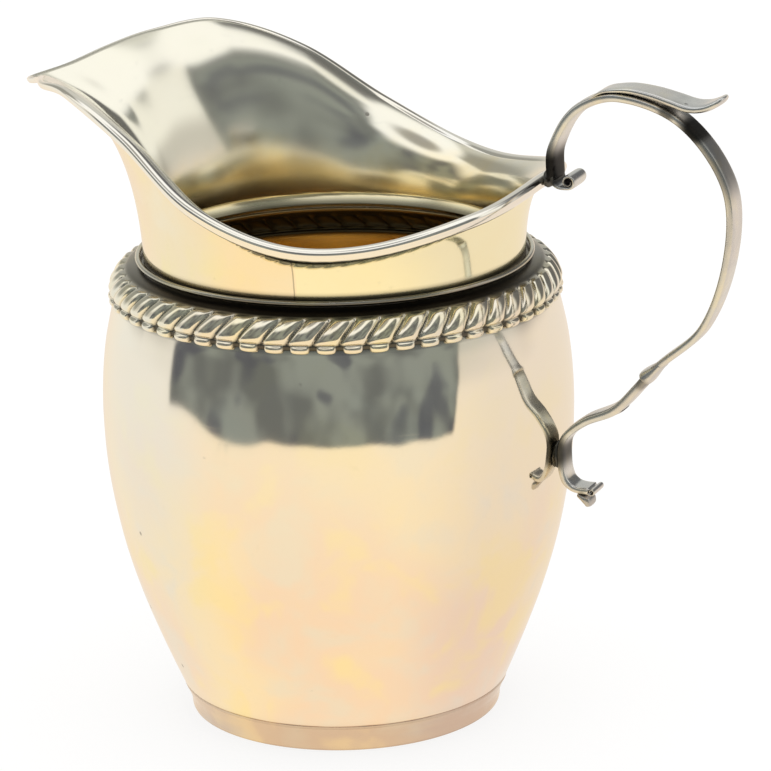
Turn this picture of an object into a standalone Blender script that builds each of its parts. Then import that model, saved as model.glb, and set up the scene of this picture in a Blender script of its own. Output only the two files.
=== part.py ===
# Silver cream jug: barrel body on a foot ring, gadroon shoulder band, flared neck with a
# pouring lip, rim wire and a double-scroll strap handle with a thumb leaf.
#
# Frame: metres, +Z up, origin on the body's axis in the plane that the foot stands on.
# The handle is at +X and the pouring lip at -X, so the XZ plane is the plane of symmetry.
# The outline tables below are in millimetres, and MM turns them into metres.

import math

import bmesh
import bpy
from mathutils import Vector

MM = 0.001

# Sheet, wire and the space that soldered neighbours keep
WALL = 0.8
JOINT_GAP = 0.3
TURNED_SIDES = 48

# Body wall: (height, outer radius), bottom to top
BODY_OUTLINE = (
    (4.6, 25.9), (9.0, 27.8), (14.0, 29.8), (20.0, 32.0), (27.0, 34.1), (34.0, 35.6),
    (41.0, 36.6), (48.0, 37.0), (54.0, 36.9), (60.0, 36.3), (65.0, 35.3), (67.6, 34.6),
)

# Foot ring and the base disc let into it
FOOT_HEIGHT = 4.3
FOOT_RADIUS = 24.6
FOOT_TOP_RADIUS = 25.8
FOOT_THICKNESS = 1.3
BASE_RECESS = 0.7
BASE_THICKNESS = 0.8

# Shoulder band: (height, outer radius), from its lower edge to the shelf under the neck
BAND_OUTLINE = ((67.9, 35.2), (69.3, 35.3), (70.7, 34.7), (71.9, 33.6), (72.8, 32.2), (73.2, 30.8), (73.2, 29.1))

# Fillet wire in the corner between band and neck
WAIST_WIRE_RADIUS = 0.42
WAIST_WIRE_RING = 30.75
WAIST_WIRE_HEIGHT = 73.95

# Neck and mouth.  Rim stations: (degrees from the lip, reach from the axis, height)
NECK_FOOT_HEIGHT = 73.5
NECK_FOOT_RADIUS = 29.8
NECK_RINGS = 7
RIM_STATIONS = (
    (0, 52.5, 97.8), (6, 48.9, 99.0), (14, 46.1, 100.8), (26, 44.9, 102.1), (40, 42.3, 102.9), (60, 39.2, 97.9),
    (80, 38.6, 89.1), (100, 37.0, 83.8), (120, 35.6, 83.0), (150, 36.4, 86.1), (180, 35.8, 88.4),
)
NECK_SIDES = 64
NECK_LIP_REACH = 1.0
NECK_CURVE_RISE = 0.84
RIM_WIRE_RADIUS = 1.2
RIM_WIRE_LIP_RADIUS = 0.55
RIM_WIRE_SIDES = 72

# Handle: stations are (distance from the axis, height, scale of the strap's section)
STRAP_WIDTH = 5.2
STRAP_THICKNESS = 1.6
MAIN_SCROLL = (
    (36.95, 88.3, 1.0), (37.15, 93.4, 1.0), (40.9, 99.6, 0.95), (47.6, 102.0, 0.9), (57.6, 98.8, 0.9),
    (64.6, 89.6, 0.9), (65.0, 79.0, 0.9), (61.0, 67.4, 0.8), (53.9, 60.7, 0.8),
)
LOWER_SCROLL = (
    (50.7, 57.1, 0.95), (46.8, 53.0, 0.95), (41.6, 50.4, 0.85), (38.35, 47.3, 0.8),
    (38.0, 43.4, 0.8), (38.5, 40.9, 0.8), (39.6, 39.8, 0.76), (40.9, 39.45, 0.72), (42.1, 39.45, 0.7),
)
LEAF_WIDTH = 6.3
LEAF_THICKNESS = 1.5
THUMB_LEAF = (
    (45.4, 103.35, 0.34), (49.8, 103.5, 0.6), (53.2, 102.95, 0.8), (56.2, 102.05, 0.95), (59.0, 101.35, 1.0),
    (61.4, 101.55, 1.0), (64.0, 103.1, 0.5),
)
UPPER_ROLL = (39.85, 88.6)
UPPER_ROLL_RADIUS = 1.35
UPPER_ROLL_WIDTH = 5.4
LOWER_ROLL = (43.05, 39.5)
LOWER_ROLL_RADIUS = 0.64
LOWER_ROLL_WIDTH = 4.4
KNOP_CENTRE = (52.2, 59.0)
KNOP_SIZE = (2.1, 5.4, 2.2)
KNOP_ANGLE = 43.0
TAIL_WIDTH = 3.6
TAIL_OUTLINE = (
    (40.5, 38.2), (41.4, 38.4), (42.9, 38.4), (43.0, 37.4), (42.6, 36.5), (42.2, 36.3), (41.4, 36.9), (40.8, 37.6),
)

BODY_SILVER = ((0.90, 0.84, 0.72), 0.12)
NECK_SILVER = ((0.91, 0.86, 0.70), 0.12)
BAND_SILVER = ((0.78, 0.73, 0.60), 0.22)
HANDLE_SILVER = ((0.70, 0.68, 0.63), 0.28)


def clear_scene():
    for obj in list(bpy.data.objects):
        bpy.data.objects.remove(obj, do_unlink=True)


def make_collection(name):
    collection = bpy.data.collections.new(name)
    bpy.context.scene.collection.children.link(collection)
    return collection


def silver(name, finish):
    colour, roughness = finish
    material = bpy.data.materials.new(name + "_silver")
    material.use_nodes = True
    shader = material.node_tree.nodes["Principled BSDF"]
    shader.inputs["Base Color"].default_value = (*colour, 1.0)
    shader.inputs["Metallic"].default_value = 1.0
    shader.inputs["Roughness"].default_value = roughness
    return material


def add_piece(name, data, finish):
    piece = bpy.data.objects.new(name, data)
    data.materials.append(silver(name, finish))
    jug.objects.link(piece)
    return piece


def smooth(mesh):
    mesh.shade_smooth()
    mesh.set_sharp_from_angle(angle=math.radians(40.0))


def offset_inward(outline, thickness):
    # The same wall's inner outline: each point moved square to the outline, towards the axis
    points = [Vector((radius, height)) for height, radius in outline]
    inner = []
    for index, point in enumerate(points):
        before = points[max(index - 1, 0)]
        after = points[min(index + 1, len(points) - 1)]
        along = (after - before).normalized()
        inner.append(point + Vector((-along.y, along.x)) * thickness)
    return inner


def wall_section(outline, thickness):
    # Closed section of a wall, starting at the top of its outer side and running down it
    outer = [Vector((radius, height)) for height, radius in reversed(outline)]
    return outer + offset_inward(outline, thickness)


def turned_piece(name, section, finish):
    # A closed section at +X, turned once round the Z axis
    mesh = bpy.data.meshes.new(name)
    vertices = [(point[0] * MM, 0.0, point[1] * MM) for point in section]
    edges = [(index, (index + 1) % len(section)) for index in range(len(section))]
    mesh.from_pydata(vertices, edges, [])
    piece = add_piece(name, mesh, finish)
    screw = piece.modifiers.new("Turn", "SCREW")
    screw.axis = "Z"
    screw.angle = math.tau
    screw.steps = TURNED_SIDES
    screw.render_steps = TURNED_SIDES
    screw.use_merge_vertices = True
    screw.merge_threshold = 0.00001
    screw.use_smooth_shade = True
    return piece


def make_body_shell():
    turned_piece("body_shell", wall_section(BODY_OUTLINE, WALL), BODY_SILVER)


def make_foot_ring():
    section = (
        (FOOT_TOP_RADIUS, FOOT_HEIGHT), (FOOT_RADIUS + 0.45, FOOT_HEIGHT / 2), (FOOT_RADIUS, 0.0),
        (FOOT_RADIUS - FOOT_THICKNESS, 0.0), (FOOT_TOP_RADIUS - FOOT_THICKNESS, FOOT_HEIGHT),
    )
    turned_piece("foot_ring", section, BODY_SILVER)


def make_base_disc():
    radius = (FOOT_RADIUS - FOOT_THICKNESS - JOINT_GAP) * MM
    mesh = bpy.data.meshes.new("base_disc")
    shape = bmesh.new()
    bmesh.ops.create_cone(
        shape, cap_ends=True, segments=TURNED_SIDES, radius1=radius, radius2=radius,
        depth=BASE_THICKNESS * MM,
    )
    shape.to_mesh(mesh)
    shape.free()
    smooth(mesh)
    disc = add_piece("base_disc", mesh, BODY_SILVER)
    disc.location.z = (BASE_RECESS + BASE_THICKNESS / 2) * MM


def make_gadroon_band():
    turned_piece("gadroon_band", wall_section(BAND_OUTLINE, WALL), BAND_SILVER)


def make_waist_wire():
    sides = 8
    section = []
    for index in range(sides):
        angle = math.tau / 4 - math.tau * index / sides
        radius = WAIST_WIRE_RING + WAIST_WIRE_RADIUS * math.cos(angle)
        height = WAIST_WIRE_HEIGHT + WAIST_WIRE_RADIUS * math.sin(angle)
        section.append((radius, height))
    turned_piece("waist_wire", section, BAND_SILVER)


def rim_at(angle):
    # Reach and height of the rim at an angle from the lip: a smooth curve through the stations,
    # mirrored past both ends so that it is level across the plane of symmetry
    turn = abs(math.degrees(angle)) % 360.0
    turn = min(turn, 360.0 - turn)
    first, last = RIM_STATIONS[0], RIM_STATIONS[-1]
    before_first = (-RIM_STATIONS[1][0], *RIM_STATIONS[1][1:])
    after_last = (2 * last[0] - RIM_STATIONS[-2][0], *RIM_STATIONS[-2][1:])
    stations = (before_first, *RIM_STATIONS, after_last)
    index = 1
    while index < len(stations) - 3 and stations[index + 1][0] < turn:
        index += 1
    low, high = stations[index], stations[index + 1]
    span = high[0] - low[0]
    share = (turn - low[0]) / span
    values = []
    for column in (1, 2):
        slope_low = (high[column] - stations[index - 1][column]) / (high[0] - stations[index - 1][0])
        slope_high = (stations[index + 2][column] - low[column]) / (stations[index + 2][0] - low[0])
        value = (2 * share**3 - 3 * share**2 + 1) * low[column]
        value += (share**3 - 2 * share**2 + share) * span * slope_low
        value += (3 * share**2 - 2 * share**3) * high[column]
        value += (share**3 - share**2) * span * slope_high
        values.append(value)
    return Vector(values)


def rim_wire_radius(angle):
    # The wire is drawn thinner towards the lip
    towards_lip = max(math.cos(angle), 0.0) ** 2
    return RIM_WIRE_RADIUS + (RIM_WIRE_LIP_RADIUS - RIM_WIRE_RADIUS) * towards_lip


def neck_pull(angle):
    # The point that the wall's curve bends towards, between its foot and the rim
    rise = NECK_CURVE_RISE * (rim_at(angle).y - NECK_FOOT_HEIGHT)
    reach = NECK_LIP_REACH * (1 + math.cos(angle)) / 2
    return Vector((NECK_FOOT_RADIUS + reach, NECK_FOOT_HEIGHT + rise))


def rim_inset(angle, distance):
    # A point this far in from the rim, back along the wall
    rim = rim_at(angle)
    return rim - (rim - neck_pull(angle)).normalized() * distance


def neck_point(angle, share):
    foot = Vector((NECK_FOOT_RADIUS, NECK_FOOT_HEIGHT))
    edge = rim_inset(angle, 2 * rim_wire_radius(angle) + JOINT_GAP)
    point = foot * (1 - share) ** 2 + neck_pull(angle) * 2 * share * (1 - share) + edge * share**2
    return around_axis(point, angle)


def spaced_angles(count):
    # Angles round the mouth, twice as close together at the lip as on average
    turns = [index / count for index in range(count)]
    return [math.tau * turn - 0.5 * math.sin(math.tau * turn) for turn in turns]


def around_axis(point, angle):
    # Angle 0 is the pouring lip at -X
    return Vector((-point.x * math.cos(angle), point.x * math.sin(angle), point.y)) * MM


def make_neck_collar():
    # The wall is a loft from the round neck foot to the waved rim, then thickened inwards
    shape = bmesh.new()
    rings = []
    for ring in range(NECK_RINGS + 1):
        share = ring / NECK_RINGS
        rings.append([shape.verts.new(neck_point(angle, share)) for angle in spaced_angles(NECK_SIDES)])
    for lower, upper in zip(rings, rings[1:]):
        for side in range(NECK_SIDES):
            following = (side + 1) % NECK_SIDES
            shape.faces.new((lower[side], upper[side], upper[following], lower[following]))
    mesh = bpy.data.meshes.new("neck_collar")
    shape.to_mesh(mesh)
    shape.free()
    smooth(mesh)
    collar = add_piece("neck_collar", mesh, NECK_SILVER)
    sheet = collar.modifiers.new("Sheet", "SOLIDIFY")
    sheet.thickness = WALL * MM
    sheet.offset = -1.0
    sheet.use_even_offset = True


def make_rim_wire():
    curve = bpy.data.curves.new("rim_wire", "CURVE")
    curve.dimensions = "3D"
    curve.bevel_depth = MM
    curve.bevel_resolution = 2
    spline = curve.splines.new("POLY")
    spline.points.add(RIM_WIRE_SIDES - 1)
    spline.use_cyclic_u = True
    for point, angle in zip(spline.points, spaced_angles(RIM_WIRE_SIDES)):
        radius = rim_wire_radius(angle)
        point.co = (*around_axis(rim_inset(angle, radius), angle), 1.0)
        point.radius = radius
    add_piece("rim_wire", curve, NECK_SILVER)


def strap_section(name, width, thickness):
    # Flat oval that a strap is drawn with
    corners = 12
    squareness = 0.5
    curve = bpy.data.curves.new(name, "CURVE")
    curve.dimensions = "2D"
    curve.fill_mode = "NONE"
    spline = curve.splines.new("POLY")
    spline.points.add(corners - 1)
    spline.use_cyclic_u = True
    for index, point in enumerate(spline.points):
        angle = math.tau * (index + 0.5) / corners
        across = math.copysign(abs(math.cos(angle)) ** squareness, math.cos(angle))
        through = math.copysign(abs(math.sin(angle)) ** squareness, math.sin(angle))
        point.co = (through * thickness / 2 * MM, across * width / 2 * MM, 0.0, 1.0)
    section = bpy.data.objects.new(name, curve)
    section.hide_render = True
    section.display_type = "WIRE"
    guides.objects.link(section)
    return section


def strap_piece(name, stations, section, steps, finish):
    # A strap bent in the plane of symmetry: a smooth curve through its stations
    curve = bpy.data.curves.new(name, "CURVE")
    curve.dimensions = "2D"
    curve.fill_mode = "NONE"
    curve.bevel_mode = "OBJECT"
    curve.bevel_object = section
    curve.use_fill_caps = True
    curve.resolution_u = steps
    curve.render_resolution_u = 0
    spline = curve.splines.new("BEZIER")
    spline.bezier_points.add(len(stations) - 1)
    for knot, (distance, height, scale) in zip(spline.bezier_points, stations):
        knot.co = (distance * MM, height * MM, 0.0)
        knot.radius = scale
        knot.handle_left_type = "AUTO"
        knot.handle_right_type = "AUTO"
    piece = add_piece(name, curve, finish)
    piece.rotation_euler.x = math.radians(90.0)
    return piece


def roll_piece(name, centre, radius, width, finish):
    # The rolled end of a strap, a short cylinder across the handle
    mesh = bpy.data.meshes.new(name)
    shape = bmesh.new()
    bmesh.ops.create_cone(
        shape, cap_ends=True, segments=20, radius1=radius * MM, radius2=radius * MM, depth=width * MM,
    )
    shape.to_mesh(mesh)
    shape.free()
    smooth(mesh)
    piece = add_piece(name, mesh, finish)
    piece.rotation_euler.x = math.radians(90.0)
    piece.location = (centre[0] * MM, 0.0, centre[1] * MM)
    edge = piece.modifiers.new("Soft edge", "BEVEL")
    edge.width = 0.3 * MM
    edge.segments = 2
    edge.limit_method = "ANGLE"
    return piece


def make_knop():
    mesh = bpy.data.meshes.new("scroll_knop")
    shape = bmesh.new()
    bmesh.ops.create_cube(shape, size=1.0)
    bmesh.ops.scale(shape, vec=Vector(KNOP_SIZE) * MM, verts=shape.verts)
    shape.to_mesh(mesh)
    shape.free()
    smooth(mesh)
    knop = add_piece("scroll_knop", mesh, HANDLE_SILVER)
    knop.rotation_euler.y = math.radians(-KNOP_ANGLE)
    knop.location = (KNOP_CENTRE[0] * MM, 0.0, KNOP_CENTRE[1] * MM)
    edge = knop.modifiers.new("Soft edge", "BEVEL")
    edge.width = 0.5 * MM
    edge.segments = 2


def make_lower_tail():
    curve = bpy.data.curves.new("lower_tail", "CURVE")
    curve.dimensions = "2D"
    curve.fill_mode = "BOTH"
    curve.extrude = TAIL_WIDTH / 2 * MM
    spline = curve.splines.new("POLY")
    spline.points.add(len(TAIL_OUTLINE) - 1)
    spline.use_cyclic_u = True
    for point, (distance, height) in zip(spline.points, TAIL_OUTLINE):
        point.co = (distance * MM, height * MM, 0.0, 1.0)
    tail = add_piece("lower_tail", curve, HANDLE_SILVER)
    tail.rotation_euler.x = math.radians(90.0)


def make_handle():
    strap = strap_section("strap_section", STRAP_WIDTH, STRAP_THICKNESS)
    leaf = strap_section("leaf_section", LEAF_WIDTH, LEAF_THICKNESS)
    strap_piece("handle_main_scroll", MAIN_SCROLL, strap, 6, HANDLE_SILVER)
    strap_piece("handle_lower_scroll", LOWER_SCROLL, strap, 5, HANDLE_SILVER)
    strap_piece("thumb_leaf", THUMB_LEAF, leaf, 4, HANDLE_SILVER)
    roll_piece("upper_volute", UPPER_ROLL, UPPER_ROLL_RADIUS, UPPER_ROLL_WIDTH, HANDLE_SILVER)
    roll_piece("lower_volute", LOWER_ROLL, LOWER_ROLL_RADIUS, LOWER_ROLL_WIDTH, HANDLE_SILVER)
    make_knop()
    make_lower_tail()


clear_scene()
jug = make_collection("cream_jug")
guides = make_collection("guides")
make_body_shell()
make_foot_ring()
make_base_disc()
make_gadroon_band()
make_waist_wire()
make_neck_collar()
make_rim_wire()
make_handle()
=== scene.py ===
import bpy
import bmesh
import math
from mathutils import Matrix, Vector, noise


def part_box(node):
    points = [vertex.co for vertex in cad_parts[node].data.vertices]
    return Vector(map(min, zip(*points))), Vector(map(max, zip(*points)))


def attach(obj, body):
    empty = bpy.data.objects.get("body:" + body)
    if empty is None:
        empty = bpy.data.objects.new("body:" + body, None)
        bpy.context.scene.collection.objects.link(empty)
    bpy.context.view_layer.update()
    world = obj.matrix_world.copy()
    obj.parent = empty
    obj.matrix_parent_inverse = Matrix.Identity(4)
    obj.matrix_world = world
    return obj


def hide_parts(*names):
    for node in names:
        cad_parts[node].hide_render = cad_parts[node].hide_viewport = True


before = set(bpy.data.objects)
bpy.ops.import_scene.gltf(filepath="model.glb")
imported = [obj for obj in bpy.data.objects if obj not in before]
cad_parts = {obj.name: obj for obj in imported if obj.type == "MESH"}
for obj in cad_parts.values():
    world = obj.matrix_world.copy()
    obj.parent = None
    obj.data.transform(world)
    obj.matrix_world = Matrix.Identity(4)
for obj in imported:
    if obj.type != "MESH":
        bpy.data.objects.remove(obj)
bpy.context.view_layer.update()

# Silver cream jug.  The outlines are in millimetres in the frame of the CAD parts: the origin is on
# the jug's axis in the plane it stands on, the pouring lip at -X and the handle at +X.
mm = 0.001


class Tone:
    # wraps a socket, so that sums on it add their own Math nodes
    def __init__(self, tree, socket=None):
        self.tree = tree
        self.socket = socket

    def make(self, kind, settings=None, sockets=None, out=0):
        node = self.tree.nodes.new(kind)
        for key, value in (settings or {}).items():
            setattr(node, key, value)
        for key, value in (sockets or {}).items():
            if isinstance(value, Tone):
                self.tree.links.new(value.socket, node.inputs[key])
            else:
                node.inputs[key].default_value = value
        return Tone(self.tree, node.outputs[out]) if node.outputs else node

    def maths(self, operation, *values):
        return self.make("ShaderNodeMath", {"operation": operation}, dict(enumerate(values)))

    def __add__(self, other):
        return self.maths("ADD", self, other)

    def __sub__(self, other):
        return self.maths("SUBTRACT", self, other)

    def __rsub__(self, other):
        return self.maths("SUBTRACT", other, self)

    def __mul__(self, other):
        return self.maths("MULTIPLY", self, other)

    def __truediv__(self, other):
        return self.maths("DIVIDE", self, other)

    __radd__ = __add__
    __rmul__ = __mul__

    def step(self, low, high):
        # 0 below low, 1 above high, smooth between them
        settings = {"interpolation_type": "SMOOTHSTEP"}
        return self.make("ShaderNodeMapRange", settings, {"Value": self, "From Min": low, "From Max": high})

    def blend(self, first, second):
        # this value picks between two colours
        ends = [colour if isinstance(colour, Tone) else (*colour, 1.0) for colour in (first, second)]
        return self.make("ShaderNodeMix", {"data_type": "RGBA"}, {0: self, 6: ends[0], 7: ends[1]}, 2)

    def clouds(self, place, size, detail=2.0, spread=0.5, twist=0.0):
        # noise whose patches are about size millimetres across
        sockets = {"Vector": place, "Scale": 1 / (size * mm), "Detail": detail, "Roughness": spread}
        return self.make("ShaderNodeTexNoise", None, {**sockets, "Distortion": twist})

    def stretched(self, place, turn, scale):
        # the same place turned and squeezed, for scratches that run one way
        return self.make("ShaderNodeMapping", None, {"Vector": place, "Rotation": turn, "Scale": scale})


# turn and squeeze of the two ways that a cloth goes
wipedWays = (((0.3, 0.0, 0.6), (60.0, 260.0, 2600.0)), ((1.2, 0.4, -0.5), (240.0, 2800.0, 70.0)))


def silverFinish(name, look):
    # tarnished silver: soft clouds of colour, dark hollows of oxide and painted shade, pits, wiping
    # scratches
    material = bpy.data.materials.new(name)
    material.use_nodes = True
    tree = material.node_tree
    shader = tree.nodes["Principled BSDF"]
    tone = Tone(tree)
    place = tone.make("ShaderNodeTexCoord", out=3)
    axes = [tone.make("ShaderNodeSeparateXYZ", None, {0: place}, out) for out in range(3)]
    hollow = tone.make("ShaderNodeAttribute", {"attribute_name": "hollow"}, None, 2)
    inside = tone.make("ShaderNodeAttribute", {"attribute_name": "inside"}, None, 2)

    broad = tone.clouds(place, look["cloudSize"], 1.5, 0.5, 0.15)
    small = tone.clouds(place, look["cloudSize"] * 0.4, 3.0, 0.55, 0.3)
    grain = tone.clouds(place, 1.3, 3.0, 0.6)
    colour = broad.step(0.40, 0.62).blend(look["straw"], look["blush"])
    colour = (small.step(0.48, 0.70) * look["greyShare"]).blend(colour, look["grey"])
    colour = (small.step(0.50, 0.32) * look["yellowShare"]).blend(colour, look["yellow"])
    if "paleRise" in look:  # painted reflection: the upper part is painted paler for the white tent it reflects, the lower part stays warm like the paper below
        low, high = look["paleRise"]
        pale = (axes[2] + (broad - 0.5) * 0.02).step(low * mm, high * mm) * look["paleShare"]
        colour = pale.blend(colour, look["pale"])
    gilt = inside * (broad * 0.35 + 0.75).step(0.25, 0.95)
    if "giltFade" in look:  # the gilding is worn off towards the rim
        low, high = look["giltFade"]
        gilt = gilt * (axes[2] + (small - 0.5) * 0.012).step(high * mm, low * mm)
        colour = (inside * 0.9).blend(colour, look["wornInside"])
    colour = gilt.blend(colour, look["gilt"])
    if "seam" in look:
        # the fine soldered seam where the strip of sheet was closed into a ring
        turn = tone.maths("ARCTAN2", axes[1], axes[0]) - math.radians(look["seam"])
        offset = tone.maths("ABSOLUTE", turn + (grain - 0.5) * 0.003)
        outside = (1 - inside) * look["seamShare"]
        colour = (turn.step(0.0, 0.02) * outside).blend(colour, look["pastSeam"])
        colour = (offset.step(0.005, 0.002) * (1 - inside) * 0.45).blend(colour, look["oxideAndShade"])
    sockets = {"Vector": place, "Scale": 1 / (look["pitGap"] * mm)}
    pits = tone.make("ShaderNodeTexVoronoi", None, sockets)
    pitted = pits.step(0.07, 0.03) * small.step(0.5, 0.6)
    speckle = grain.step(0.62, 0.9) * look["speckle"]
    # the hollow layer blends towards the oxide colour: real oxide in hollows, plus painted shade and painted
    # dark reflections in creases, corners and under parts
    dark = tone.maths("MINIMUM", hollow * look["oxideAndShadeShare"] + pitted * 0.6 + speckle, 1.0)
    colour = dark.blend(colour, look["oxideAndShade"])

    # wiping leaves short hair scratches that run two ways
    marks = None
    for turn, scale in wipedWays:
        spun = tone.stretched(place, turn, scale)
        hair = tone.make("ShaderNodeTexNoise", None, {"Vector": spun, "Scale": 1.0, "Detail": 2.0})
        hair = hair.step(0.62, 0.78)
        marks = hair if marks is None else marks + hair
    marks = marks * small.step(0.40, 0.65)
    shine = look["roughness"] + broad.step(0.35, 0.75) * look["dulling"]
    shine = shine + marks * look["hairShare"] * 0.12
    shine = shine + dark * look["dirtDulling"] + inside * look["insideDulling"]
    height = grain * look["grainDepth"] + marks * look["hairShare"] * -0.15 - pitted * 1.5
    sockets = {"Height": height, "Strength": look["bump"], "Distance": look["bumpHeight"]}
    bump = tone.make("ShaderNodeBump", None, sockets)
    tree.links.new(colour.socket, shader.inputs["Base Color"])
    tree.links.new(shine.socket, shader.inputs["Roughness"])
    tree.links.new(bump.socket, shader.inputs["Normal"])
    shader.inputs["Metallic"].default_value = 1.0
    return material


# what all the silver has in common; each piece's own dictionary says where it differs
plainSilver = {
    "straw": (0.95, 0.84, 0.64), "blush": (0.93, 0.77, 0.65), "yellow": (0.98, 0.85, 0.50),
    "grey": (0.85, 0.82, 0.76), "gilt": (0.93, 0.72, 0.36), "oxideAndShade": (0.025, 0.021, 0.017),
    "greyShare": 0.75, "yellowShare": 0.75, "cloudSize": 30.0, "oxideAndShadeShare": 0.9, "pitGap": 7.0,
    "speckle": 0.06, "roughness": 0.05, "dulling": 0.04, "insideDulling": 0.10, "dirtDulling": 0.3,
    "hairShare": 0.35, "grainDepth": 0.4, "bump": 0.22, "bumpHeight": 0.00002,
}


def smoothCurve(stations, count):
    # a smooth curve through stations of any width, as count + 1 evenly spaced rows
    rows = [Vector(station) for station in stations]
    gaps = [max((b.to_2d() - a.to_2d()).length, 1e-6) for a, b in zip(rows, rows[1:])]
    places = [0.0]
    for gap in gaps:
        places.append(places[-1] + gap)
    slopes = []
    for index in range(len(rows)):
        low, high = max(index - 1, 0), min(index + 1, len(rows) - 1)
        slopes.append((rows[high] - rows[low]) / (places[high] - places[low]))
    points, index = [], 0
    for step in range(count + 1):
        place = places[-1] * step / count
        while index < len(gaps) - 1 and places[index + 1] < place:
            index += 1
        t = (place - places[index]) / gaps[index]
        gap = gaps[index]
        point = rows[index] * (2 * t**3 - 3 * t**2 + 1) + slopes[index] * (t**3 - 2 * t**2 + t) * gap
        point += rows[index + 1] * (3 * t**2 - 2 * t**3) + slopes[index + 1] * (t**3 - t**2) * gap
        points.append(point)
    return points


def sideways(points, index):
    # unit vector square to a flat curve, on its right hand going forward
    ahead = points[min(index + 1, len(points) - 1)].to_2d() - points[max(index - 1, 0)].to_2d()
    ahead.normalize()
    return Vector((ahead.y, -ahead.x))


def ease(value, low, high):
    t = min(max((value - low) / (high - low), 0.0), 1.0)
    return t * t * (3 - 2 * t)


def halfRound(offset, halfWidth):
    return math.sqrt(max(0.0, 1.0 - (offset / halfWidth) ** 2))


def ringPoints(centre, radii, corners):
    # corners of an oval round a centre
    points = []
    for corner in range(corners):
        turn = math.tau * corner / corners
        points.append((centre[0] + radii[0] * math.cos(turn), centre[1] + radii[1] * math.sin(turn)))
    return points


def netMesh(name, rows, roundRows, capped=False):
    # rows of points joined into quads; every row is a closed loop
    across = len(rows[0])
    faces = []
    for row in range(len(rows) if roundRows else len(rows) - 1):
        here, ahead = row * across, (row + 1) % len(rows) * across
        for side in range(across):
            beside = (side + 1) % across
            faces.append((here + side, here + beside, ahead + beside, ahead + side))
    if capped:
        faces.append(tuple(reversed(range(across))))
        faces.append(tuple(range((len(rows) - 1) * across, len(rows) * across)))
    mesh = bpy.data.meshes.new(name)
    mesh.from_pydata([tuple(point * mm) for row in rows for point in row], [], faces)
    shape = bmesh.new()
    shape.from_mesh(mesh)
    bmesh.ops.recalc_face_normals(shape, faces=shape.faces)
    shape.to_mesh(mesh)
    shape.free()
    mesh.shade_smooth()
    return mesh


def paint(mesh, layer, rule):
    # a value from 0 to 1 at each vertex, from its place in millimetres
    data = mesh.attributes.new(layer, "FLOAT", "POINT").data
    data.foreach_set("value", [rule(vertex.co / mm) for vertex in mesh.vertices])


def nowhere(point):
    return 0.0


def addPiece(name, mesh, finish, nodes=(), hollow=nowhere, inside=nowhere):
    piece = bpy.data.objects.new(name, mesh)
    bpy.context.scene.collection.objects.link(piece)
    mesh.materials.append(finish)
    paint(mesh, "hollow", hollow)
    paint(mesh, "inside", inside)
    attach(piece, "root")
    if nodes:
        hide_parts(*nodes)
    return piece


def onTurn(radius, height, turn):
    return Vector((radius * math.cos(turn), radius * math.sin(turn), height))


def turnedMesh(name, section, sides, hammer=nowhere):
    # a closed section turned about the axis; hammer moves the radius a little
    rows = []
    for side in range(sides):
        turn = math.tau * side / sides
        row = []
        for radius, height in section:
            extra = hammer(onTurn(radius, height, turn))
            row.append(onTurn(radius + extra, height, turn))
        rows.append(row)
    return netMesh(name, rows, True)


def wallLoop(outer, thickness):
    # closed section of a sheet wall from its outer side: up the outside and back down the inside
    inner = [point.to_2d() - sideways(outer, index) * thickness for index, point in enumerate(outer)]
    top = (outer[-1].to_2d() + inner[-1]) / 2
    bottom = (outer[0].to_2d() + inner[0]) / 2
    crown = 0.3  # how far the rounded edges stand out, in thicknesses
    top += (outer[-1].to_2d() - outer[-2].to_2d()).normalized() * thickness * crown
    bottom += (outer[0].to_2d() - outer[1].to_2d()).normalized() * thickness * crown
    return [point.to_2d() for point in outer] + [top] + list(reversed(inner)) + [bottom]


def sweptMesh(name, stations, count, section, rounding):
    # a bar bent in the XZ plane; stations are distance, height, width scale, thickness scale
    path = smoothCurve(stations, count)
    length = sum((b.to_2d() - a.to_2d()).length for a, b in zip(path, path[1:]))
    rows = []
    for index, (distance, height, wide, thick) in enumerate(path):
        side = sideways(path, index)
        here = length * index / count
        end = min(here, length - here)
        close = halfRound(rounding - end, rounding) if end < rounding else 1.0
        close = max(close, 0.04)  # the ends close to a small flat
        row = []
        for across, through in section:
            out = side * through * thick * close
            row.append(Vector((distance + out.x, across * wide * close, height + out.y)))
        rows.append(row)
    return netMesh(name, rows, False, True)


def ovalSection(width, thickness, corners=32, squareness=0.7):
    points = []
    for index in range(corners):
        angle = math.tau * index / corners
        across = math.copysign(abs(math.cos(angle)) ** squareness, math.cos(angle))
        through = math.copysign(abs(math.sin(angle)) ** squareness, math.sin(angle))
        points.append((across * width / 2, through * thickness / 2))
    return points


def blobMesh(name, centre, radii, wobble):
    # a lump of solder, uneven like metal that has run
    rings, sides, lumpSize = 21, 28, 1.7
    rows = []
    for row in range(rings):
        share = math.pi * (row + 0.5) / rings
        across = math.sin(share)
        ring = []
        for side in range(sides):
            turn = math.tau * side / sides
            way = Vector((across * math.cos(turn), math.cos(share), across * math.sin(turn)))
            swell = 1 + noise.noise(way * lumpSize + Vector(centre)) * wobble
            spot = [middle + radius * part * swell for middle, radius, part in zip(centre, radii, way)]
            ring.append(Vector(spot))
        rows.append(ring)
    return netMesh(name, rows, False, True)


cameraLook = {
    "place": (0.26807, -0.60209, 0.2525), "turn": (73.0487, 1.2507, 22.9754), "lens": 204.51,
    "sensor": 36.0, "clipStart": 0.01,
}


def makeCamera():
    cameraData = bpy.data.cameras.new("camera")
    cameraData.lens = cameraLook["lens"]
    cameraData.sensor_width = cameraLook["sensor"]
    cameraData.clip_start = cameraLook["clipStart"]
    camera = bpy.data.objects.new("camera", cameraData)
    camera.location = cameraLook["place"]
    camera.rotation_euler = [math.radians(value) for value in cameraLook["turn"]]
    bpy.context.scene.collection.objects.link(camera)
    bpy.context.scene.camera = camera
    print("camera")


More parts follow.
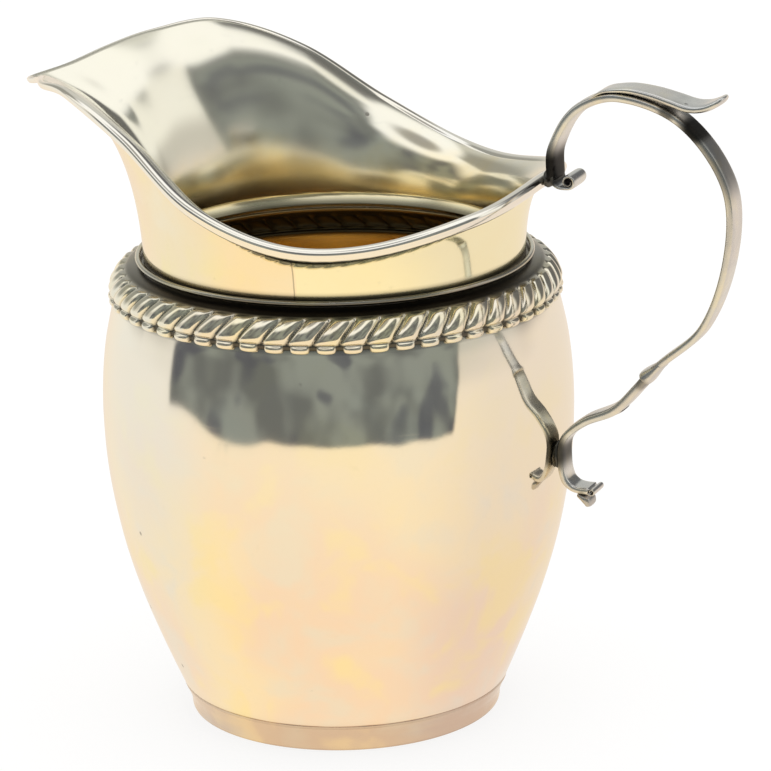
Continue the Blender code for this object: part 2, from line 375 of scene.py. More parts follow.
body = {
    "outline": (  # outer radius and height, from the foot up
        (25.8, 4.3), (27.8, 9.0), (29.8, 14.0), (32.0, 20.0), (34.1, 27.0), (35.6, 34.0), (36.6, 41.0),
        (37.0, 48.0), (36.9, 54.0), (36.3, 60.0), (35.3, 65.0), (34.65, 67.4), (34.25, 68.3),
    ),
    "wall": 0.8, "sides": 240, "rows": 90, "waviness": 0.03, "waveSize": 19.0,
    "underBand": (66.9, 67.6, 0.6), "inBand": (67.6, 68.0, 0.4), "atFoot": (5.2, 4.4, 0.12),  # heights, painted shade
    "dents": (  # degrees round, height, reach, depth
        (-118, 53, 1.6, 0.10), (-121, 56, 1.1, 0.06), (-95, 30, 3.4, 0.04), (-41, 22, 2.6, 0.05),
        (70, 44, 3.0, 0.09), (150, 33, 2.4, 0.07),
    ),
    # paleRise paints the upper body paler: a painted reflection of the white tent
    "finish": {**plainSilver, "pale": (0.91, 0.89, 0.80), "paleRise": (22.0, 66.0), "paleShare": 0.8},
}


def hammered(point):
    # how far the wall stands out of true: slow waves and a few small knocks
    rise = noise.noise(point / body["waveSize"]) * body["waviness"]
    rise += noise.noise(point / body["waveSize"] * 2.7 + Vector((9, 4, 2))) * body["waviness"] * 0.3
    for degrees, height, reach, depth in body["dents"]:
        turn = math.radians(degrees)
        radius = Vector((point.x, point.y)).length
        away = (point - onTurn(radius, height, turn)).length / reach
        if away < 3:
            rise -= depth * math.exp(-away * away)
    return rise


def makeBody():
    outer = smoothCurve(body["outline"], body["rows"])
    mesh = turnedMesh("bodyWall", wallLoop(outer, body["wall"]), body["sides"], hammered)
    finish = silverFinish("bodySilver", body["finish"])

    def insideWall(point):
        reach = Vector((point.x, point.y)).length
        nearest = min(outer, key=lambda spot: abs(spot.y - point.z))
        return 1.0 if reach < nearest.x - body["wall"] * 0.5 else 0.0

    def jointShade(point):
        # painted shade: darker against the foot, just under the band and on the wall's edge inside the band
        level = 0.0
        for start, full, strength in (body["underBand"], body["inBand"], body["atFoot"]):
            level += ease(point.z, start, full) * strength
        return level

    addPiece("bodyWall", mesh, finish, ["body_shell"], jointShade, insideWall)
    print("body wall, widest diameter", round(2 * max(point.x for point in outer), 1), "mm")


foot = {
    "thickness": 1.3, "taper": 1.2, "sides": 240, "creaseShade": 0.25, "solderDarkening": 0.1,
    "solder": (0.28, 0.42),  # half width and half height of the line of solder above the ring
    # the foot's colours are darker than the body's: painted shade for the shadowed paper it reflects
    "finish": {
        **plainSilver, "straw": (0.72, 0.57, 0.45), "blush": (0.68, 0.54, 0.45), "grey": (0.70, 0.62, 0.54),
        "yellow": (0.84, 0.68, 0.46), "roughness": 0.12,
    },
}
base = {
    "sides": 192, "rings": 46, "crown": 0.12, "centreMark": 0.16, "discEdgeDarkening": 0.8, "solderDarkening": 0.7,
    "finish": {
        **plainSilver, "gilt": (0.86, 0.64, 0.34), "roughness": 0.13, "dulling": 0.12, "hairShare": 0.9,
    },
}


def makeFoot():
    low, high = [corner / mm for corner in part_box("foot_ring")]
    top, wide, thick = high.z, high.x, foot["thickness"]
    narrow = wide - foot["taper"]
    section = [
        (wide - 0.04, top), (wide - 0.34, top - 0.7), (wide - 0.62, top - 1.5), (narrow + 0.28, 2.0),
        (narrow + 0.1, 1.1), (narrow + 0.06, 0.5), (narrow - 0.04, 0.12), (narrow - 0.3, 0.0),
        (narrow - thick + 0.3, 0.0), (narrow - thick, 0.2), (narrow - thick, 2.0), (wide - thick, top),
    ]
    curve = [(point.x, max(point.y, 0.0)) for point in smoothCurve(section, 60)]
    mesh = turnedMesh("footRing", curve, foot["sides"], lambda point: hammered(point) * 0.5)
    finish = silverFinish("footSilver", foot["finish"])

    # painted shade in the crease above the ring and along its lower edge on the floor
    def creaseShade(point):
        return (ease(point.z, 3.9, 4.3) + ease(point.z, 0.5, 0.0)) * foot["creaseShade"]

    def insideRing(point):
        return 0.5 if Vector((point.x, point.y)).length < narrow - thick * 0.4 else 0.0

    addPiece("footRing", mesh, finish, ["foot_ring"], creaseShade, insideRing)
    bead = ringPoints((wide - 0.22, top + 0.05), foot["solder"], 16)
    beadMesh = turnedMesh("footSolder", bead, foot["sides"], lambda point: noise.noise(point / 3.0) * 0.05)
    # the solder line is darkened: painted shade in the crease between the body and the ring
    addPiece("footSolder", beadMesh, finish, (), lambda point: foot["solderDarkening"])
    print("foot ring", round(2 * wide, 1), "mm across")


def makeBase():
    low, high = [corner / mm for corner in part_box("base_disc")]
    radius, bottom, top = high.x, low.z, high.z

    def crowned(reach):
        # a faint dome, the turning lines and the pip that the compass left
        rise = base["crown"] * (1 - (reach / radius) ** 2)
        rise += 0.012 * math.sin(reach * 4.0) * ease(reach, 2.0, 6.0)
        return rise - base["centreMark"] * math.exp(-((reach / 0.45) ** 2))

    reaches = [radius * step / base["rings"] for step in range(1, base["rings"] + 1)]
    under = [(reach, bottom + max(crowned(reach), 0.0)) for reach in reaches]
    over = [(reach, top - 0.1 - crowned(reach) * 0.6) for reach in reversed(reaches)]
    edge = (radius + 0.12, (top + bottom) / 2)
    section = [(0.05, bottom + 0.02), *under, edge, *over, (0.05, top - 0.1)]
    mesh = turnedMesh("baseDisc", section, base["sides"])
    finish = silverFinish("baseSilver", base["finish"])

    # the disc is darkened towards its edge
    def discEdgeDarkening(point):
        return ease(Vector((point.x, point.y)).length, radius - 1.6, radius) * base["discEdgeDarkening"]

    def upperSide(point):
        return 1.0 if point.z > (top + bottom) / 2 else 0.0

    addPiece("baseDisc", mesh, finish, ["base_disc"], discEdgeDarkening, upperSide)
    for name, height in (("baseSolderUnder", bottom + 0.15), ("baseSolderOver", top - 0.1)):
        ring = ringPoints((radius + 0.12, height), (0.34, 0.3), 12)
        beadMesh = turnedMesh(name, ring, base["sides"], lambda point: noise.noise(point / 2.2) * 0.08)
        addPiece(name, beadMesh, finish, (), lambda point: base["solderDarkening"])
    print("base disc", round(2 * radius, 1), "mm across")


band = {
    "outline": (  # outer radius and height, from the lower edge to the shelf under the neck
        (34.55, 67.5), (34.95, 67.75), (35.12, 68.3), (35.1, 69.2), (34.6, 70.5), (33.6, 71.75),
        (32.3, 72.6), (31.0, 73.05), (30.2, 73.2), (29.6, 73.2),
    ),
    "wall": 0.75, "lobes": 55, "perLobe": 16, "rows": 54,
    "beadEnd": 1.35, "beadRise": 0.5, "beadSink": 0.25, "beadWidth": 0.74,
    "lobeStart": 1.3, "lobeEnd": 6.1, "lobeRise": 0.42, "valley": 0.5, "lobeWidth": 0.96, "lean": 0.68,
    "lobeFoot": 1.2, "lobeFade": 0.78, "pressed": 0.85,  # pressed: how much of the relief shows inside
    "valleyOxideAndShade": 0.9, "edgeOxideAndShade": 0.4, "insideOxideAndShade": 0.92, "shelfShade": 0.35, "frontShade": 0.75,
    "shadedFront": -68,  # degrees round, where the painted shade on the shelf is darkest
    "finish": {
        **plainSilver, "straw": (0.90, 0.86, 0.72), "blush": (0.90, 0.82, 0.68), "grey": (0.84, 0.83, 0.76),
        "yellow": (0.94, 0.87, 0.62), "roughness": 0.11, "oxideAndShadeShare": 1.0, "cloudSize": 16.0,
    },
}
waist = {"radius": 0.42, "sides": 200, "frontShade": 0.45, "underShade": 0.6}


def lobeRelief(along, turn):
    # rise of a bead or of a slanted lobe above the moulding, and how deep in a valley the place is
    pitch = turn * band["lobes"] / math.tau
    across = abs((pitch % 1.0) - 0.5) * 2  # 0 at the middle of a bead, 1 between two
    if along < band["beadEnd"]:
        middle = (along - band["beadEnd"] / 2) / (band["beadEnd"] / 2)
        swell = halfRound(middle, 1.0) * halfRound(across, band["beadWidth"]) ** 0.6
        return (band["beadRise"] + band["beadSink"]) * swell - band["beadSink"], 1 - swell
    share = (along - band["lobeStart"]) / (band["lobeEnd"] - band["lobeStart"])
    lean = band["lean"] * (0.35 * share + 0.65 * ease(share, 0.0, 1.0))
    across = abs(((pitch - lean) % 1.0) - 0.5) * 2
    root = halfRound(1 - min((along - band["lobeStart"]) / band["lobeFoot"], 1.0), 1.0)
    fade = 1 - ease(share, band["lobeFade"], 1.0)
    ridge = halfRound(across, band["lobeWidth"]) ** 0.9
    rise = (band["lobeRise"] + band["valley"]) * ridge * root * fade - band["valley"] * fade
    return rise, (1 - ridge * root) * fade


def makeBand():
    outer = smoothCurve(band["outline"], band["rows"])
    steps = [0.0]
    for before, after in zip(outer, outer[1:]):
        steps.append(steps[-1] + (after - before).length)
    sides = band["lobes"] * band["perLobe"]
    rows, valleys, hidden = [], [], []
    for side in range(sides):
        turn = math.tau * side / sides
        outside, within = [], []
        for index, point in enumerate(outer):
            rise, valley = lobeRelief(steps[index], turn)
            out = sideways(outer, index)
            spot = point.to_2d() + out * rise
            pressed = rise * band["pressed"] * ease(point.y, 68.2, 69.0) * (1 - ease(point.y, 70.6, 71.6))
            back = point.to_2d() + out * (pressed - band["wall"])
            outside.append(onTurn(spot.x, spot.y, turn))
            within.append(onTurn(max(back.x, 29.3), back.y, turn))
            valleys.append(valley)
        edge = onTurn(outer[-1].x - 0.25, outer[-1].y - band["wall"] * 0.45, turn)
        rows.append(outside + [edge] + list(reversed(within)))
        valleys.extend([band["edgeOxideAndShade"]] + [band["insideOxideAndShade"]] * len(within))
        hidden.extend([0.0] * len(outside) + [1.0] * (len(within) + 1))
    mesh = netMesh("gadroonBand", rows, True)
    finish = silverFinish("bandSilver", band["finish"])
    valleyOf, hiddenOf = iter(valleys), iter(hidden)

    def frontness(point):
        # painted shade and dark reflection in the crease under the neck, heaviest at the front
        return 0.5 + 0.5 * math.cos(math.atan2(point.y, point.x) - math.radians(band["shadedFront"]))

    def valleyOxideAndShade(point):
        # oxide and painted shade in the valleys between lobes; painted shade and dark reflection on the
        # shelf under the neck
        shelf = ease(point.z, 71.9, 72.6) * (band["shelfShade"] + band["frontShade"] * frontness(point))
        return max(ease(next(valleyOf), 0.40, 1.0) * band["valleyOxideAndShade"], shelf)

    def backOfBand(point):
        return next(hiddenOf)

    addPiece("gadroonBand", mesh, finish, ["gadroon_band"], valleyOxideAndShade, backOfBand)
    print("gadroon band,", band["lobes"], "lobes")

    # the fillet wire in the corner above the band
    low, high = [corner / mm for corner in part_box("waist_wire")]
    radius = waist["radius"]
    section = ringPoints((high.x - radius, (low.z + high.z) / 2), (radius, radius), 16)

    def wireWave(point):
        return noise.noise(point / 6.0) * 0.03

    wireMesh = turnedMesh("waistWire", section, waist["sides"], wireWave)

    def wireShade(point):
        # painted shade and dark reflection: darker at the front and under the wire, at the neck's foot
        return waist["frontShade"] * frontness(point) + ease(point.z, 74.1, 73.7) * waist["underShade"]

    addPiece("waistWire", wireMesh, finish, ["waist_wire"], wireShade)
    print("waist wire")


neck = {
    "footHeight": 73.5, "footRadius": 29.8, "lipReach": 1.0, "curveRise": 0.84, "sides": 288, "rows": 64,
    "crowding": 1.6, "wall": 0.8, "thinning": 0.15, "underWire": 1.35,
    "ringDepth": 0.95, "ringLow": 73.95, "ringHigh": 75.4, "ringWear": 0.75, "neckFootShade": 0.85,
    "finish": {
        **plainSilver, "straw": (0.96, 0.84, 0.60), "blush": (0.95, 0.80, 0.58),
        "yellow": (0.97, 0.86, 0.52), "grey": (0.93, 0.88, 0.76), "roughness": 0.07,
        "insideDulling": 0.08, "seam": -78.0,  # degrees round
        "seamShare": 0.75, "pastSeam": (0.98, 0.95, 0.66), "wornInside": (0.92, 0.90, 0.80),
        "gilt": (0.98, 0.80, 0.44), "giltFade": (76.0, 86.0), "greyShare": 0.4, "speckle": 0.12,
    },
}
rim = {
    # degrees from the lip, reach from the axis, height
    "stations": (
        (0, 52.5, 97.8), (6, 48.9, 99.0), (14, 46.1, 100.8), (26, 44.9, 102.1), (40, 42.3, 102.9),
        (60, 39.2, 97.9), (80, 38.6, 89.1), (100, 37.0, 83.8), (120, 35.6, 83.0), (150, 36.4, 86.1),
        (180, 35.8, 88.4),
    ),
    "wireRadius": 1.2, "lipRadius": 0.55, "worn": 1.45, "flatTop": 0.86, "fullness": 0.96, "corners": 32,
    "underShade": 0.85,
    "finish": {
        **plainSilver, "straw": (0.93, 0.90, 0.83), "blush": (0.92, 0.88, 0.80), "grey": (0.90, 0.89, 0.86),
        "yellow": (0.95, 0.90, 0.76), "roughness": 0.09, "yellowShare": 0.3,
    },
}


def rimAt(angle):
    # reach and height of the rim: a smooth curve through its stations, level at the lip and at the handle
    turn = abs(math.degrees(angle)) % 360.0
    turn = min(turn, 360.0 - turn)
    first, last = rim["stations"][0], rim["stations"][-1]
    before = (-rim["stations"][1][0], *rim["stations"][1][1:])
    after = (2 * last[0] - rim["stations"][-2][0], *rim["stations"][-2][1:])
    stations = (before, *rim["stations"], after)
    index = 1
    while index < len(stations) - 3 and stations[index + 1][0] < turn:
        index += 1
    low, high = stations[index], stations[index + 1]
    span = high[0] - low[0]
    t = (turn - low[0]) / span
    values = []
    for column in (1, 2):
        slopeLow = (high[column] - stations[index - 1][column]) / (high[0] - stations[index - 1][0])
        slopeHigh = (stations[index + 2][column] - low[column]) / (stations[index + 2][0] - low[0])
        value = (2 * t**3 - 3 * t**2 + 1) * low[column] + (t**3 - 2 * t**2 + t) * span * slopeLow
        value += (3 * t**2 - 2 * t**3) * high[column] + (t**3 - t**2) * span * slopeHigh
        values.append(value)
    return Vector(values)


def wireRadiusAt(angle):
    return rim["wireRadius"] + (rim["lipRadius"] - rim["wireRadius"]) * max(math.cos(angle), 0.0) ** 2


def neckPull(angle):
    # the point that the wall bends towards between its foot and the rim
    rise = neck["curveRise"] * (rimAt(angle).y - neck["footHeight"])
    reach = neck["lipReach"] * (1 + math.cos(angle)) / 2
    return Vector((neck["footRadius"] + reach, neck["footHeight"] + rise))


def rimInset(angle, distance):
    edge = rimAt(angle)
    return edge - (edge - neckPull(angle)).normalized() * distance


def fromLip(point, angle):
    return Vector((-point.x * math.cos(angle), point.x * math.sin(angle), point.y))


def lipTurns(count):
    # angles round the mouth, closer together at the lip
    return [math.tau * step / count - 0.5 * math.sin(math.tau * step / count) for step in range(count)]


def makeNeck():
    rows, within = [], []
    for angle in lipTurns(neck["sides"]):
        shares = []
        start = Vector((neck["footRadius"], neck["footHeight"]))
        pull = neckPull(angle)
        end = rimInset(angle, wireRadiusAt(angle) * neck["underWire"])
        outer = []
        for step in range(neck["rows"] + 1):
            t = (step / neck["rows"]) ** neck["crowding"]  # rows closer together at the foot
            outer.append(start * (1 - t) ** 2 + pull * 2 * t * (1 - t) + end * t**2)
        inner = []
        for index, point in enumerate(outer):
            # a ring inside the foot: bevelled above, rounded below
            bevel = min(max((neck["ringHigh"] - point.y) / (neck["ringHigh"] - neck["ringLow"]), 0.0), 1.0)
            rounded = 0.6 + 0.4 * ease(point.y, neck["footHeight"], neck["ringLow"])
            roll = neck["ringDepth"] * bevel * rounded
            thin = neck["wall"] + roll - neck["thinning"] * ease(index / neck["rows"], 0.7, 1.0)
            inner.append(point - sideways(outer, index) * thin)
            shares.append(1.0 - neck["ringWear"] * ease(roll, 0.0, 0.4))
        row = outer + list(reversed(inner))
        rows.append([fromLip(point, angle) for point in row])
        within.extend([0.0] * len(outer) + list(reversed(shares)))
    mesh = netMesh("neckWall", rows, True)
    finish = silverFinish("neckSilver", neck["finish"])
    withinOf = iter(within)

    # painted shade and dark reflection: the neck darkens towards its foot
    def neckFootShade(point):
        return ease(point.z, 75.6, 74.2) * neck["neckFootShade"]

    def insideNeck(point):
        return next(withinOf)

    addPiece("neckWall", mesh, finish, ["neck_collar"], neckFootShade, insideNeck)
    print("neck wall,", round(2 * neck["footRadius"], 1), "mm across at its foot")


def makeRim():
    # a wire soldered round the outside of the edge, drawn thin at the lip
    rows, under = [], []
    for angle in lipTurns(neck["sides"]):
        size = wireRadiusAt(angle)
        centre = rimInset(angle, size)
        ahead = (rimAt(angle) - neckPull(angle)).normalized()
        out = Vector((ahead.y, -ahead.x))
        row = []
        for corner in range(rim["corners"]):
            turn = math.tau * corner / rim["corners"]
            forward, down = math.cos(turn), math.sin(turn)
            if forward > 0 and down > 0:  # worn to a slope on the outside
                forward, down = forward ** rim["worn"], down ** rim["worn"]
            elif down < 0:  # flatter on top, where it carries on from the wall
                down *= rim["flatTop"]
            row.append(fromLip(centre + (ahead * forward + out * down) * size * rim["fullness"], angle))
            # painted shade on the wire's underside, next to the wall
            under.append(ease(down - forward, 0.95, 1.25) * rim["underShade"])
        rows.append(row)
    mesh = netMesh("rimWire", rows, True)
    finish = silverFinish("rimSilver", rim["finish"])
    underOf = iter(under)

    def underRim(point):
        return next(underOf)

    addPiece("rimWire", mesh, finish, ["rim_wire"], underRim)
    print("rim wire, up to", round(max(station[2] for station in rim["stations"]), 1), "mm high")


handle = {
    "main": (  # distance from the axis, height, width scale, thickness scale
        (36.95, 88.3, 1.0, 1.0), (37.15, 93.4, 1.0, 1.0), (40.9, 99.6, 0.95, 0.95), (47.6, 102.0, 0.9, 0.9),
        (57.6, 98.8, 0.9, 0.9), (64.6, 89.6, 0.9, 0.9), (65.0, 79.0, 0.9, 0.9), (61.0, 67.4, 0.8, 0.8),
        (53.9, 60.7, 0.8, 0.8), (52.3, 59.2, 0.84, 0.85),
    ),
    "lower": (
        (52.0, 58.8, 0.9, 0.9), (50.7, 57.1, 0.95, 0.95), (46.8, 53.0, 0.95, 0.95), (41.6, 50.4, 0.85, 0.85),
        (38.35, 47.3, 0.8, 0.8), (38.0, 43.4, 0.8, 0.8), (38.5, 40.9, 0.8, 0.8), (39.6, 39.8, 0.78, 0.76),
        (40.9, 39.45, 0.8, 0.72), (42.7, 39.45, 0.82, 0.7),
    ),
    "leaf": (
        (42.6, 101.0, 0.76, 0.2), (45.0, 102.7, 0.78, 0.5), (47.4, 103.2, 0.78, 0.75),
        (49.8, 103.25, 0.8, 0.95), (53.2, 102.75, 0.88, 1.1), (56.2, 102.0, 0.96, 1.15),
        (59.0, 101.3, 1.0, 1.15), (61.2, 101.45, 0.95, 1.1), (62.9, 102.15, 0.8, 0.95),
        (64.3, 103.1, 0.52, 0.7),
    ),
    "spur": (
        (44.6, 51.75, 0.8, 0.4), (45.9, 52.35, 0.9, 0.75), (47.1, 52.8, 0.9, 0.85),
        (48.2, 53.45, 0.75, 0.55),
    ),
    "knop": (  # along the knop from its middle, width scale, thickness scale
        (3.0, 0.78, 0.57), (1.8, 0.83, 0.65), (0.8, 0.92, 0.82), (0.0, 1.0, 0.98), (-0.7, 1.04, 1.06),
        (-1.1, 1.0, 0.95),
    ),
    "knopLean": 47.0,  # degrees from upright
    "strap": (5.2, 1.6), "leafSize": (6.2, 1.4), "spurSize": (4.6, 1.3), "knopSize": (5.3, 2.2),
    "tailThickness": 0.95, "leafScoop": 0.22, "tailDarkening": 0.25, "solderDarkening": 0.9,
    "solder": (  # name, middle, half sizes
        ("rimSolder", (36.1, 0, 88.5), (0.8, 2.3, 1.5)), ("bodySolder", (37.0, 0, 44.4), (0.7, 1.7, 2.2)),
    ),
    # where shade is painted: distance from the axis, height, reach, strength
    "mainShade": (
        (36.6, 89.6, 6.2, 1.0), (60.1, 98.2, 3.8, 1.0), (63.0, 93.5, 8.0, 0.5), (55.5, 100.3, 1.8, 0.7),
        (52.5, 59.5, 2.2, 0.4),
    ),
    "lowerShade": ((37.1, 45.4, 3.9, 0.9), (41.4, 38.7, 1.0, 0.6), (51.5, 58.0, 1.8, 0.5)),
    "upperRollShade": ((39.85, 88.6, 0.95, 1.0), (37.2, 88.6, 1.6, 0.9)),
    "lowerRollShade": ((43.05, 39.5, 0.3, 0.7),),
    "leafShade": ((59.6, 100.0, 1.3, 0.9), (55.0, 101.0, 1.2, 0.5)),
    "spurShade": ((48.3, 53.1, 0.9, 0.9),),
    # the handle's colours are greyer and darker than the body's: partly its own tone, partly painted shade;
    # its darker oxide colour is painted shade for its black corners
    "finish": {
        **plainSilver, "straw": (0.74, 0.75, 0.74), "blush": (0.73, 0.71, 0.69), "grey": (0.62, 0.63, 0.64),
        "yellow": (0.80, 0.77, 0.67), "roughness": 0.22, "dulling": 0.08, "cloudSize": 10.0,
        "hairShare": 0.6, "speckle": 0.15, "oxideAndShade": (0.012, 0.011, 0.010), "oxideAndShadeShare": 0.97,
    },
}
roll = {
    # shares of the roll's radius: where the strip starts, how far it winds in, its own thickness
    "start": 0.78, "windIn": 0.48, "sheet": 0.42, "thinning": 0.35, "squareness": 0.45, "rows": 150,
    "upperStart": ((37.2, 89.4, 0.96, 1.3), (37.4, 88.2, 0.97, 1.2), (38.3, 87.6, 1.0, 1.0)),
    "upperTurns": 1.35, "upperAngle": -90,
    "lowerStart": ((41.9, 39.25, 0.9, 1.2), (42.5, 39.1, 0.97, 1.2)), "lowerTurns": 0.9, "lowerAngle": -80,
}


def near(spots):
    # darkness that fades away from each spot
    def rule(point):
        level = 0.0
        for x, z, reach, strength in spots:
            away = math.hypot(point.x - x, point.z - z)
            level = max(level, strength * ease(away, reach, reach * 0.35))
        return level
    return rule


def makeRoll(name, node, start, turns, firstAngle, finish, paintedShade):
    # the strap's end rolled up: a thin strip wound into a spiral
    low, high = [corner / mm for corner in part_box(node)]
    centre = (low + high) / 2
    radius, width = (high.z - low.z) / 2, high.y - low.y
    stations = list(start)
    perTurn = 12
    for step in range(int(turns * perTurn) + 1):
        share = step / (turns * perTurn)
        angle = math.radians(firstAngle) + math.tau * turns * share
        reach = radius * (roll["start"] - roll["windIn"] * share)
        thin = 1.0 - roll["thinning"] * share
        stations.append((centre.x + reach * math.cos(angle), centre.z + reach * math.sin(angle), 1.0, thin))
    section = ovalSection(width, radius * roll["sheet"], 28, roll["squareness"])
    mesh = sweptMesh(name, stations, roll["rows"], section, 0.2)
    # the darkening passed in is painted shade in the roll's eye
    addPiece(name, mesh, finish, [node], paintedShade)


def makeHandle():
    finish = silverFinish("handleSilver", handle["finish"])
    strap = ovalSection(*handle["strap"], 36, 0.5)
    mesh = sweptMesh("mainScroll", handle["main"], 200, strap, 0.5)
    # painted shade at the strap's root by the rim, under the leaf and by the knop
    addPiece("mainScroll", mesh, finish, ["handle_main_scroll"], near(handle["mainShade"]))
    mesh = sweptMesh("lowerScroll", handle["lower"], 160, strap, 0.4)
    # painted shade where the lower scroll meets the body, under its roll and by the knop
    paintedShade = near(handle["lowerShade"])
    addPiece("lowerScroll", mesh, finish, ["handle_lower_scroll"], paintedShade)

    # painted shade in the eye of each rolled end and at the strap's root beside it
    paintedShade = near(handle["upperRollShade"])
    start, turns, angle = roll["upperStart"], roll["upperTurns"], roll["upperAngle"]
    makeRoll("upperVolute", "upper_volute", start, turns, angle, finish, paintedShade)
    paintedShade = near(handle["lowerRollShade"])
    start, turns, angle = roll["lowerStart"], roll["lowerTurns"], roll["lowerAngle"]
    makeRoll("lowerVolute", "lower_volute", start, turns, angle, finish, paintedShade)
    print("handle scrolls")

    # thumb leaf: a thick shallow spoon that springs from the strap
    width, thick = handle["leafSize"]
    section = []
    for across, through in ovalSection(width, thick, 40, 0.75):
        scoop = handle["leafScoop"] * (1 - (abs(across) / (width / 2)) ** 2)
        section.append((across, through + (scoop if through < 0 else 0.0)))
    mesh = sweptMesh("thumbLeaf", handle["leaf"], 110, section, 1.1)
    # painted shade in the gap under the leaf
    addPiece("thumbLeaf", mesh, finish, ["thumb_leaf"], near(handle["leafShade"]))
    mesh = sweptMesh("scrollSpur", handle["spur"], 40, ovalSection(*handle["spurSize"], 28), 0.35)
    # painted shade in the notch by the spur
    addPiece("scrollSpur", mesh, finish, (), near(handle["spurShade"]))
    print("thumb leaf and spur")

    # knop where the two scrolls meet: the upper one swells and laps over the lower one
    low, high = [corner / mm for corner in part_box("scroll_knop")]
    centre = (low + high) / 2
    lean = math.radians(handle["knopLean"])
    along = Vector((math.sin(lean), math.cos(lean)))
    stations = []
    for reach, wide, thin in handle["knop"]:
        stations.append((centre.x + along.x * reach, centre.z + along.y * reach, wide, thin))
    mesh = sweptMesh("scrollKnop", stations, 48, ovalSection(*handle["knopSize"]), 0.35)
    # painted shade under the knop's lower edge
    knopShade = near(((centre.x - 0.8, centre.z - 1.2, 1.5, 0.5),))
    addPiece("scrollKnop", mesh, finish, ["scroll_knop"], knopShade)

    # short tongue under the lower scroll
    low, high = [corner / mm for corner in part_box("lower_tail")]
    stations = (
        (low.x - 0.2, high.z + 0.3, 0.9, 0.6), (low.x + 0.6, high.z - 0.1, 1.0, 1.1),
        (high.x - 1.1, high.z - 0.7, 1.0, 1.5), (high.x - 0.7, low.z + 0.35, 0.8, 0.9),
    )
    section = ovalSection(high.y - low.y, handle["tailThickness"], 28)
    mesh = sweptMesh("lowerTail", stations, 36, section, 0.4)
    # the tongue is darkened all over
    addPiece("lowerTail", mesh, finish, ["lower_tail"], lambda point: handle["tailDarkening"])

    # solder that holds the strap to the rim and to the body
    for name, centre, radii in handle["solder"]:
        mesh = blobMesh(name, centre, radii, 0.12)
        # the solder is darkened: painted shade in the corners where the strap meets the rim and the body
        addPiece(name, mesh, finish, (), lambda point: handle["solderDarkening"])
    print("knop, tongue and solder")


studio = {
    # degrees round the jug, 0 on the handle's side, and degrees above level
    "frontFrom": -155.0, "frontTo": -6.0, "frontLean": 0.35, "frontLow": -12.3, "frontTop": 47.0,
    "dimTurn": (-60.0, -20.0), "dimTop": 57.0,  # the ceiling is higher on the right
    "dipTurn": (-116.0, -150.0), "dip": 3.8,  # the dim part reaches lower on the left
    "softRise": (4.0, 24.0), "softEdge": 9.0,  # its left edge is softer higher up
    "sideTo": 38.0, "sideRise": (14.0, 26.0), "backTo": 94.0, "backLow": 5.0,
    "wallTurn": (150.0, 125.0), "wallReturn": (-180.0, -160.0),
    "rightTurn": (-40.0, 20.0), "rightReturn": (175.0, 110.0), "rightRise": (-70.0, -45.0),
    "leftPart": (0.55, 1.0),
    "room": (0.16, 0.17, 0.165), "roomLight": (0.29, 0.315, 0.29), "roomDark": (0.09, 0.092, 0.12),
    "shade": (0.15, 0.15, 0.15), "farWall": (0.62, 0.62, 0.58), "farDim": (0.34, 0.34, 0.31),
    "side": (0.95, 0.94, 0.88), "sideDim": (0.62, 0.60, 0.55), "top": (1.06, 1.06, 1.04),
    "paper": (1.04, 0.90, 0.68), "paperLeft": (0.92, 0.90, 0.84), "paperRight": (0.90, 0.80, 0.70),
    "hatch": (0.38, 0.37, 0.35), "hatchAt": (-0.05, -0.22, 0.974), "hatchEdge": (0.945, 0.985),
    "floorSize": 4.0, "floorGlow": 0.78, "floorShade": 0.26,
}


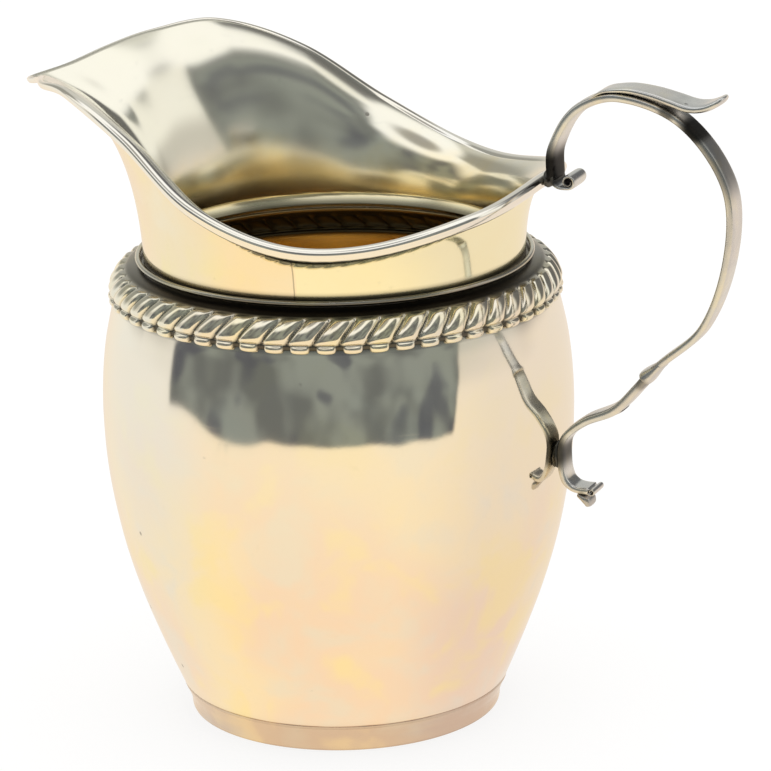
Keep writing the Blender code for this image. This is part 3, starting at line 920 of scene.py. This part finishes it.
def makeWorld():
    # a white tent in a dim room, seen only in the silver; everything else sees plain white
    world = bpy.data.worlds.new("studio")
    bpy.context.scene.world = world
    world.use_nodes = True
    tree = world.node_tree
    tree.nodes.clear()
    tone = Tone(tree)
    place = tone.make("ShaderNodeTexCoord", out=0)
    axes = [tone.make("ShaderNodeSeparateXYZ", None, {0: place}, out) for out in range(3)]
    degree = math.degrees(1)
    turn = tone.maths("ARCTAN2", axes[1], axes[0]) * degree
    rise = tone.maths("ARCSINE", axes[2]) * degree

    def shapes(scale, detail):
        sockets = {"Vector": place, "Scale": scale, "Detail": detail, "Roughness": 0.5}
        return tone.make("ShaderNodeTexNoise", None, sockets)

    wobble = shapes(2.2, 1.0) - 0.5

    # paper: warm in front, cooler on the left, greyer on the right
    onRight = turn.step(*studio["rightTurn"]) * turn.step(*studio["rightReturn"])
    paper = (onRight * rise.step(*studio["rightRise"])).blend(studio["paper"], studio["paperRight"])
    paper = (axes[0] * -1.0).step(*studio["leftPart"]).blend(paper, studio["paperLeft"])

    # the far side: bright side wall, a shaded part behind the handle, a dimmer wall, low paper
    far = turn.step(*studio["wallTurn"]) * turn.step(*studio["wallReturn"])
    far = far.blend(studio["farDim"], studio["farWall"])
    far = (turn.step(studio["backTo"] + 6.0, studio["backTo"] - 6.0)).blend(far, studio["shade"])
    wall = rise.step(*studio["sideRise"]).blend(studio["sideDim"], studio["side"])
    far = turn.step(studio["sideTo"] + 8.0, studio["sideTo"] - 8.0).blend(far, wall)
    lower = rise + wobble * 4.0
    seen = lower.step(studio["backLow"] - 10.0, studio["backLow"] + 6.0).blend(paper, far)

    # the dim room in front with soft shapes in it
    room = shapes(2.6, 2.0).step(0.38, 0.62).blend(studio["room"], studio["roomLight"])
    room = (shapes(3.6, 1.0).step(0.46, 0.34) * 0.7).blend(room, studio["roomDark"])
    edge = turn - rise * studio["frontLean"]
    right = edge.step(studio["frontTo"] + 1.0, studio["frontTo"] - 1.0)
    seen = (turn.step(studio["frontFrom"] - 14.0, studio["frontFrom"] + 14.0) * right).blend(seen, paper)
    spread = rise.step(*studio["softRise"]) * studio["softEdge"] + 1.0
    front = ((turn - studio["frontFrom"]) / spread).step(-1.0, 1.0) * right
    dip = turn.step(*studio["dipTurn"]) * studio["dip"]
    front = front * (lower - dip).step(studio["frontLow"] - 0.8, studio["frontLow"] + 0.8)
    seen = front.blend(seen, room)

    # the white ceiling of the tent with a grey hatch in it
    ceiling = turn.step(*studio["dimTurn"]) * (studio["dimTop"] - studio["frontTop"]) + studio["frontTop"]
    top = (rise + wobble * 12.0 - ceiling).step(-5.0, 5.0)
    seen = top.blend(seen, studio["top"])
    sockets = {0: place, 1: studio["hatchAt"]}
    facing = tone.make("ShaderNodeVectorMath", {"operation": "DOT_PRODUCT"}, sockets, "Value")
    seen = facing.step(*studio["hatchEdge"]).blend(seen, studio["hatch"])
    glossy = tone.make("ShaderNodeLightPath", None, None, "Is Glossy Ray")
    seen = glossy.blend((1.0, 1.0, 1.0), seen)
    lit = tone.make("ShaderNodeBackground", None, {"Color": seen, "Strength": 1.0})
    tone.make("ShaderNodeOutputWorld", None, {"Surface": lit})
    print("studio")


def makeFloor():
    bpy.ops.mesh.primitive_circle_add(vertices=96, radius=studio["floorSize"], fill_type="NGON")
    floor = bpy.context.object
    floor.name = "floor"
    floor.visible_glossy = False
    finish = bpy.data.materials.new("paperFloor")
    finish.use_nodes = True
    shader = finish.node_tree.nodes["Principled BSDF"]
    shade = studio["floorShade"]
    shader.inputs["Base Color"].default_value = (shade, shade, shade, 1.0)
    shader.inputs["Roughness"].default_value = 1.0
    shader.inputs["Specular IOR Level"].default_value = 0.0
    shader.inputs["Emission Color"].default_value = (1.0, 1.0, 1.0, 1.0)
    shader.inputs["Emission Strength"].default_value = studio["floorGlow"]
    floor.data.materials.append(finish)
    print("floor")


makeCamera()
makeBody()
makeFoot()
makeBase()
makeBand()
makeNeck()
makeRim()
makeHandle()
makeWorld()
makeFloor()
bpy.context.scene.view_settings.view_transform = "Standard"
